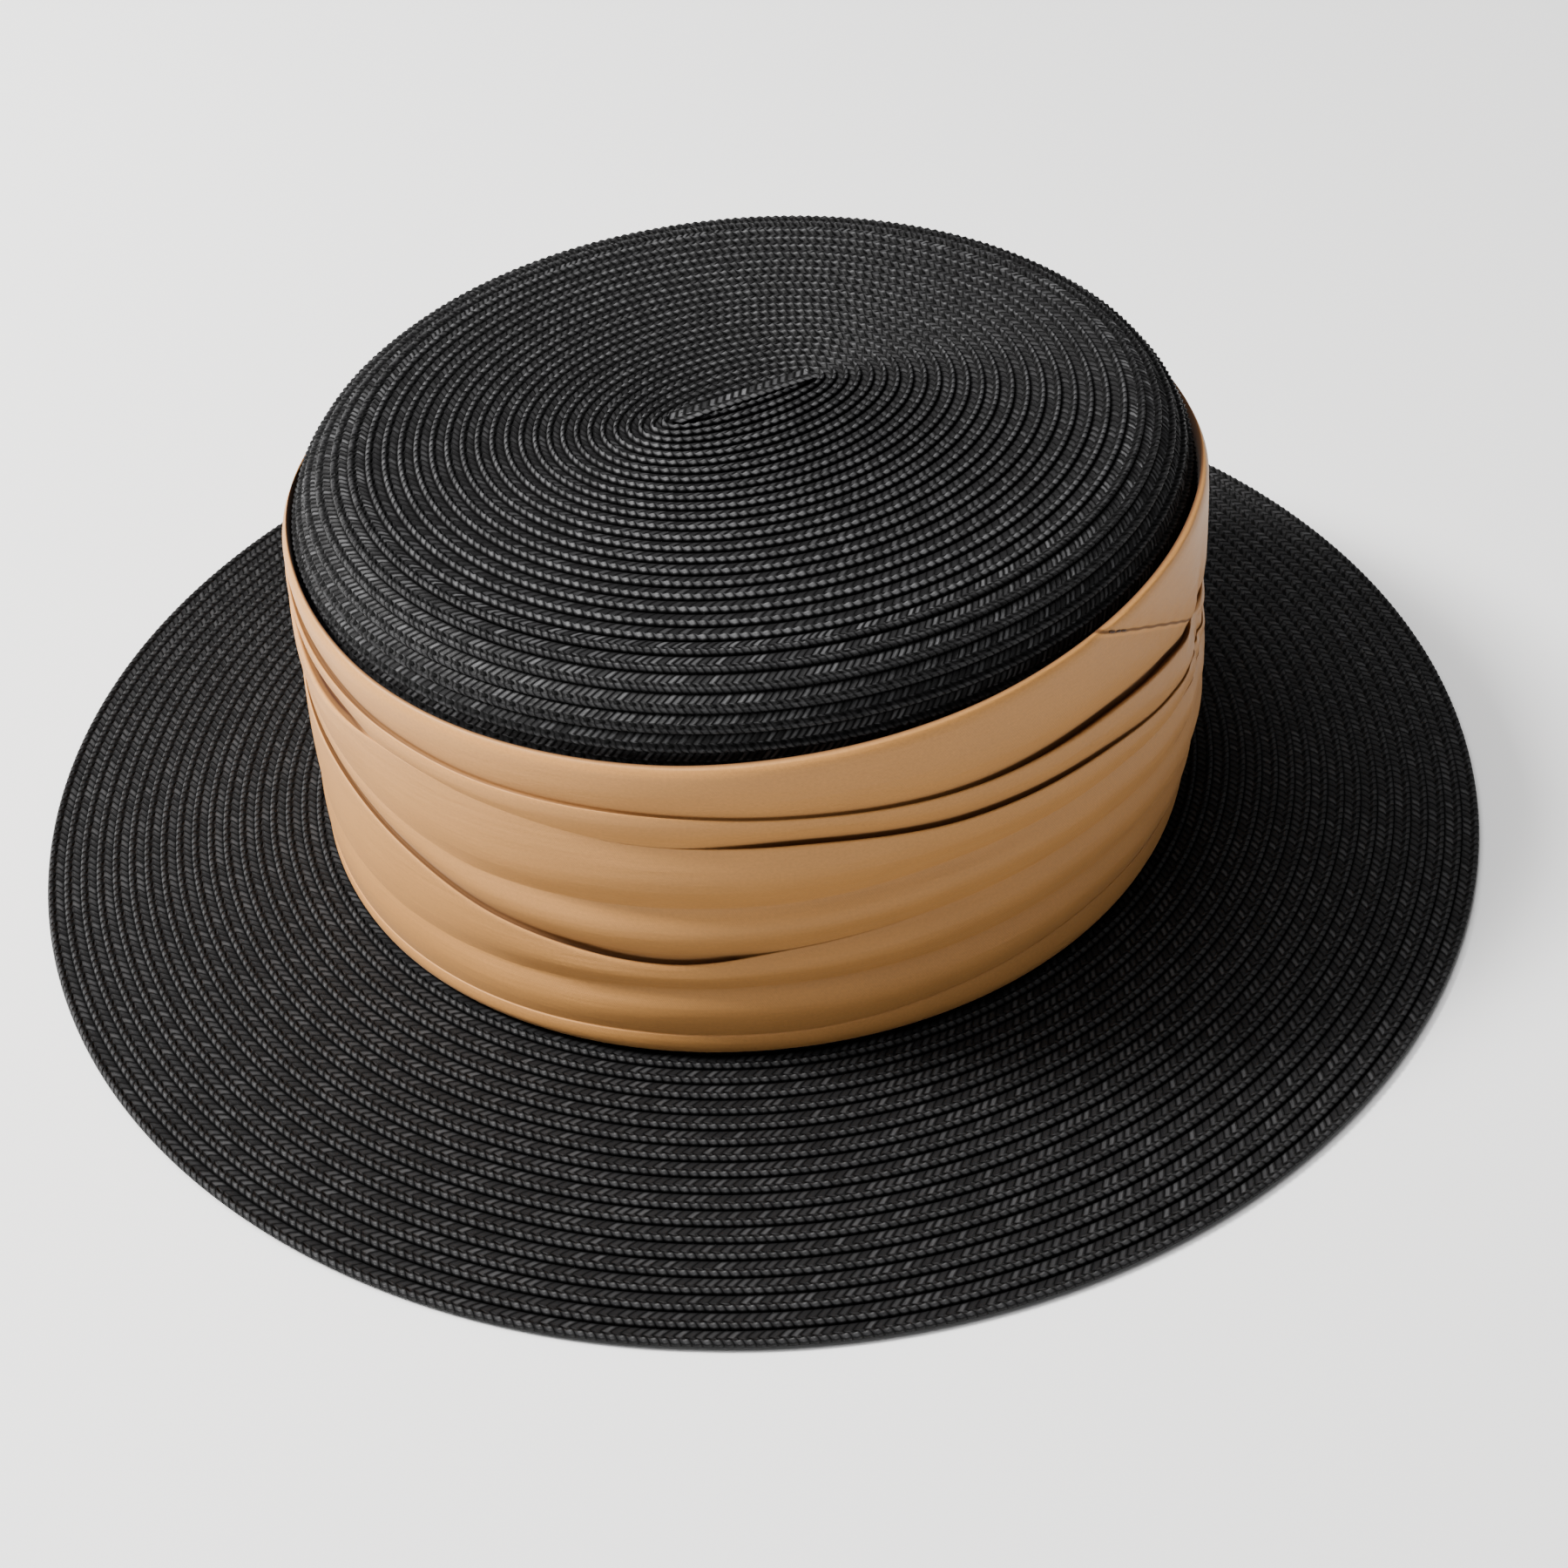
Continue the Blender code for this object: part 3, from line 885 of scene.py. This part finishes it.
class HAT_OT_crown(bpy.types.Operator):
    """Wind the plait of the crown: the tip, the shoulder and the side"""

    bl_idname = "hat.crown"
    bl_label = "Crown plait"

    def execute(self, context):
        sizes, plait = context.scene.hat_sizes, context.scene.hat_plait

        def face(reach, angle):
            return crown_face(sizes, np.minimum(reach, flat_width + shoulder + side), angle)

        def reach_of(turns):
            return crown_reach(sizes, plait, turns)

        flat_width, side = tip_half_width(sizes), side_height(sizes)
        shoulder = sizes.shoulder_radius * math.pi / 2.0
        shown_side = 0.012  # how far down the side the finer beads go, behind the band's top edge
        tip_end = math.floor(crown_turns(sizes, plait, flat_width)) - 0.5
        shown_end = math.floor(crown_turns(sizes, plait, flat_width + shoulder + shown_side)) + 0.5
        base_end = crown_turns(sizes, plait, flat_width + shoulder + side) - 0.1
        path = plait_path(face, reach_of, -1.0, base_end)
        spans = (
            ("crown_tip_plait", (-1.0, tip_end), 2, "tip_plait"),
            ("crown_shoulder_plait", (tip_end, shown_end), 2, "side_plait"),
            ("crown_side_plait", (shown_end, base_end), 1, "side_plait"),
        )
        for name, span, bead_steps, finish in spans:
            material = bpy.data.materials[finish]
            piece = plait_strip(
                name, face, reach_of, path, span, bead_steps, plait, sizes.straw_wall, material
            )
            finish_piece(piece, "straw", "crown")
        self.add_centre(sizes, plait)
        return {"FINISHED"}

    def add_centre(self, sizes, plait):
        """The first, straight stretch of plait in the middle of the tip, pressed flat."""

        def face(reach, angle):
            return centre_face(sizes, plait, reach, angle)

        def reach_of(turns):
            return plait.centre_width * (turns >= 1.0)

        span = (0.0, 0.99)  # a whole turn would step on to the next row
        path = plait_path(face, reach_of, *span)
        material = bpy.data.materials["centre_plait"]
        thickness = 0.3 * sizes.straw_wall
        piece = plait_strip(
            "crown_centre_plait", face, reach_of, path, span, 2, plait, thickness, material
        )
        finish_piece(piece, "straw", "crown")


class HAT_OT_brim(bpy.types.Operator):
    """Wind the plait of the brim from the crown out to its edge"""

    bl_idname = "hat.brim"
    bl_label = "Brim plait"

    def execute(self, context):
        sizes, plait = context.scene.hat_sizes, context.scene.hat_plait

        def face(reach, angle):
            return brim_face(sizes, reach, angle)

        def reach_of(turns):
            return brim_reach(sizes, plait, turns)

        count, _ = brim_rows(sizes, plait)
        last = count - 0.5 + plait.step_length / 2.0
        middle = round(count * 0.55) + 0.4  # about half way, and not where the rows step outwards
        path = plait_path(face, reach_of, -0.5, last)
        material = bpy.data.materials["brim_plait"]
        spans = (("brim_inner_plait", (-0.5, middle)), ("brim_outer_plait", (middle, last)))
        for name, span in spans:
            piece = plait_strip(
                name, face, reach_of, path, span, 2, plait, sizes.straw_wall, material
            )
            finish_piece(piece, "straw", "brim")
        return {"FINISHED"}


class HAT_OT_band(bpy.types.Operator):
    """Fold the satin band round the crown"""

    bl_idname = "hat.band"
    bl_label = "Satin band"

    around_steps: bpy.props.IntProperty(
        name="Steps round", description="Points round the band", default=720
    )
    fold_steps: bpy.props.IntProperty(
        name="Steps between folds", description="Points from one crease to the next", default=13
    )

    def execute(self, context):
        sizes, band = context.scene.hat_sizes, context.scene.hat_band
        degrees = np.arange(self.around_steps) * 360.0 / self.around_steps
        shares, drops = band_heights(band, degrees, self.fold_steps)
        wide = np.broadcast_to(degrees, shares.shape)
        relief, shade = band_relief(band, wide, shares)
        hem = np.exp(-shares * band.height / HEM_REACH)
        top = station_curve(TOP_EDGE, degrees)
        roll = np.clip(1.0 - (top - shares) * band.height / (2.0 * band.roll_radius), 0.0, 1.0)
        stands = station_curve(STANDS, degrees) * band.stand
        base = band.clearance + stands
        offset = np.maximum(base + relief - HEM_DIP * hem, band.clearance + LEAST_STAND)
        offset = offset - band.roll_radius * (1.0 - np.sqrt(np.clip(1.0 - roll ** 2, 0.0, 1.0)))
        places = shares - drops
        rows = [band_place(sizes, band, degrees, share, out) for share, out in zip(places, offset)]
        shades = list(shade)
        uv_up = list(shares * band.height)
        for drop, stand in TUCK_ROWS:
            share = top + drop
            rows.append(band_place(sizes, band, degrees, share, band.clearance + stand * stands))
            shades.append(np.full_like(degrees, TUCK_SHADE))
            uv_up.append((top - drop) * band.height)
        low = np.full_like(degrees, band.clearance)
        rows.append(band_place(sizes, band, degrees, np.zeros_like(degrees), low))
        shades.append(np.full_like(degrees, TUCK_SHADE))
        uv_up.append(np.full_like(degrees, 2.0 * band.height))
        points = np.stack(rows, axis=0)
        count, columns = points.shape[:2]
        faces = grid_faces(count, columns, close_rows=True, close_columns=True)
        material = bpy.data.materials["folded_satin"]
        piece = add_mesh("satin_band", points.reshape(-1, 3), faces, material)
        self.add_cloth_layers(piece.data, degrees, np.stack(uv_up), np.stack(shades), columns)
        finish_piece(piece, "satin", "band")
        return {"FINISHED"}

    def add_cloth_layers(self, data, degrees, up, shades, columns):
        """The weave's UV layer, which doesn't jump where the loop closes, and the crease shade."""
        corner_points = np.zeros(len(data.loops), dtype=np.int32)
        data.loops.foreach_get("vertex_index", corner_points)
        column = corner_points % columns
        along = np.radians(degrees)[column] * BAND_RADIUS
        first = column.reshape(-1, 4).min(axis=1) == 0
        last = column.reshape(-1, 4).max(axis=1) == columns - 1
        wraps = np.repeat(first & last, 4) & (column == 0)
        along = np.where(wraps, FULL_TURN * BAND_RADIUS, along)
        layer = data.uv_layers.new(name="cloth")
        values = np.stack([along, up.ravel()[corner_points]], axis=-1)
        layer.data.foreach_set("uv", values.astype(np.float32).ravel())
        attribute = data.attributes.new("crease_shade", "FLOAT", "POINT")
        attribute.data.foreach_set("value", shades.astype(np.float32).ravel())


class HAT_OT_stitches(bpy.types.Operator):
    """Sew the visible stitches of the band's join"""

    bl_idname = "hat.stitches"
    bl_label = "Join stitches"

    def execute(self, context):
        sizes, band = context.scene.hat_sizes, context.scene.hat_band
        curve = bpy.data.curves.new("join_stitches", "CURVE")
        curve.dimensions = "3D"
        curve.bevel_depth = band.thread_radius
        curve.bevel_resolution = 2
        curve.use_fill_caps = True
        for start in STITCH_ANGLES:
            degrees = np.linspace(start, start + STITCH_SPAN, 5)
            share = seam_height(degrees)
            relief, _ = band_relief(band, degrees, share)
            arch = np.sin(np.linspace(0.0, math.pi, 5))
            stands = station_curve(STANDS, degrees) * band.stand
            offset = band.clearance + stands + relief + band.thread_radius * (arch - 0.2)
            places = band_place(sizes, band, degrees, share, offset)
            spline = curve.splines.new("POLY")
            spline.points.add(len(places) - 1)
            for point, place in zip(spline.points, places):
                point.co = (*place, 1.0)
        curve.materials.append(bpy.data.materials["sewing_thread"])
        piece = bpy.data.objects.new("join_stitches", curve)
        context.scene.collection.objects.link(piece)
        finish_piece(piece, "satin")
        return {"FINISHED"}


class HAT_OT_stage(bpy.types.Operator):
    """Lay the floor and place the lights and the camera"""

    bl_idname = "hat.stage"
    bl_label = "Stage"

    def execute(self, context):
        studio, colours = context.scene.hat_studio, context.scene.hat_colours
        self.add_floor(colours)
        for lamp in LIGHTS:
            self.add_light(*lamp)
        world = bpy.data.worlds.new("studio")
        world.use_nodes = True
        background = world.node_tree.nodes["Background"]
        background.inputs["Color"].default_value = (1.0, 1.0, 1.0, 1.0)
        background.inputs["Strength"].default_value = WORLD_STRENGTH
        context.scene.world = world
        self.add_camera(context, studio)
        return {"FINISHED"}

    def add_floor(self, colours):
        half = FLOOR_SIZE / 2.0
        corners = [(-half, -half, 0.0), (half, -half, 0.0), (half, half, 0.0), (-half, half, 0.0)]
        floor = add_mesh("studio_floor", corners, [[0, 1, 2, 3]], floor_material(colours))
        floor.location.z = -FLOOR_GAP

    def add_light(self, name, place, size, power, colour):
        """A soft square light that points at the hat."""
        light = bpy.data.lights.new(name, "AREA")
        light.shape = "SQUARE"
        light.size = size
        light.energy = power
        light.color = colour
        lamp = bpy.data.objects.new(name, light)
        lamp.location = place
        beam = Vector(LIGHT_TARGET) - Vector(place)
        lamp.rotation_euler = beam.to_track_quat("-Z", "Y").to_euler()
        bpy.context.scene.collection.objects.link(lamp)

    def add_camera(self, context, studio):
        """The camera at the photograph's angle, with the small shift that its framing needs."""
        camera = bpy.data.cameras.new("camera")
        camera.sensor_width = SENSOR_WIDTH
        camera.lens = studio.lens
        camera.shift_x = studio.shift_x
        camera.shift_y = studio.shift_y
        camera.clip_start = 0.01
        azimuth, elevation = math.radians(studio.azimuth), math.radians(studio.elevation)
        level = math.cos(elevation)
        back = Vector((math.sin(azimuth) * level, -math.cos(azimuth) * level, math.sin(elevation)))
        eye = bpy.data.objects.new("camera", camera)
        eye.location = Vector((0.0, 0.0, studio.target_height)) + back * studio.distance
        turn = Euler((0.0, 0.0, math.radians(studio.roll))).to_quaternion()
        eye.rotation_mode = "QUATERNION"
        eye.rotation_quaternion = (-back).to_track_quat("-Z", "Y") @ turn
        context.scene.collection.objects.link(eye)
        context.scene.camera = eye


class HAT_PT_panel(bpy.types.Panel):
    """The hat's tools in the sidebar"""

    bl_idname = "HAT_PT_panel"
    bl_label = "Straw boater hat"
    bl_space_type = "VIEW_3D"
    bl_region_type = "UI"
    bl_category = "Boater"

    def draw(self, context):
        for operator in OPERATORS:
            self.layout.operator(operator.bl_idname)
        for name in SETTINGS:
            settings = getattr(context.scene, name)
            box = self.layout.box()
            for key in settings.__annotations__:
                box.prop(settings, key)


LIGHTS = (
    # name, place, size, power, colour
    ("key", (-0.80, -1.00, 1.35), 0.34, 86.0, (1.0, 0.99, 0.97)),
    ("ceiling", (-0.5, -0.6, 1.9), 1.6, 58.0, (1.0, 1.0, 1.0)),
)
LIGHT_TARGET = (0.0, 0.0, 0.05)
WORLD_STRENGTH = 0.22
FLOOR_SIZE = 6.0
FLOOR_GAP = 0.0002  # between the floor and the brim that lies on it
SENSOR_WIDTH = 36.0

# The straw's pieces: shares of the painted highlight colour on the ridge and of the painted glints
# on the flatter part of a row, set apart per piece to stand in for how the light falls on it, and
# how fine the strands are
STRAW_HIGHLIGHTS_AND_STRANDS = (
    # name, ridge, body, strands in each bead
    ("centre_plait", 0.70, 1.10, 1.0),
    ("tip_plait", 0.78, 0.20, 1.0),
    ("side_plait", 0.36, 0.52, 1.3),
    ("brim_plait", 0.28, 0.24, 1.0),
)
SETTINGS = {
    "hat_sizes": HatSizes,
    "hat_plait": PlaitSizes,
    "hat_band": BandSizes,
    "hat_colours": HatColours,
    "hat_studio": StudioSizes,
}
OPERATORS = (HAT_OT_crown, HAT_OT_brim, HAT_OT_band, HAT_OT_stitches, HAT_OT_stage)


def register():
    for name, group in SETTINGS.items():
        bpy.utils.register_class(group)
        setattr(bpy.types.Scene, name, bpy.props.PointerProperty(type=group))
    for item in (*OPERATORS, HAT_PT_panel):
        bpy.utils.register_class(item)


def unregister():
    for item in (HAT_PT_panel, *reversed(OPERATORS)):
        bpy.utils.unregister_class(item)
    for name, group in reversed(list(SETTINGS.items())):
        delattr(bpy.types.Scene, name)
        bpy.utils.unregister_class(group)


def main():
    """Make the materials and every piece."""
    register()
    scene = bpy.context.scene
    for finish in STRAW_HIGHLIGHTS_AND_STRANDS:
        straw_material(scene.hat_colours, scene.hat_plait, *finish)
    satin_material(scene.hat_colours, scene.hat_band)
    thread_material(scene.hat_colours)
    bpy.ops.hat.crown()
    bpy.ops.hat.brim()
    bpy.ops.hat.band()
    bpy.ops.hat.stitches()
    bpy.ops.hat.stage()


if __name__ == "__main__":
    main()
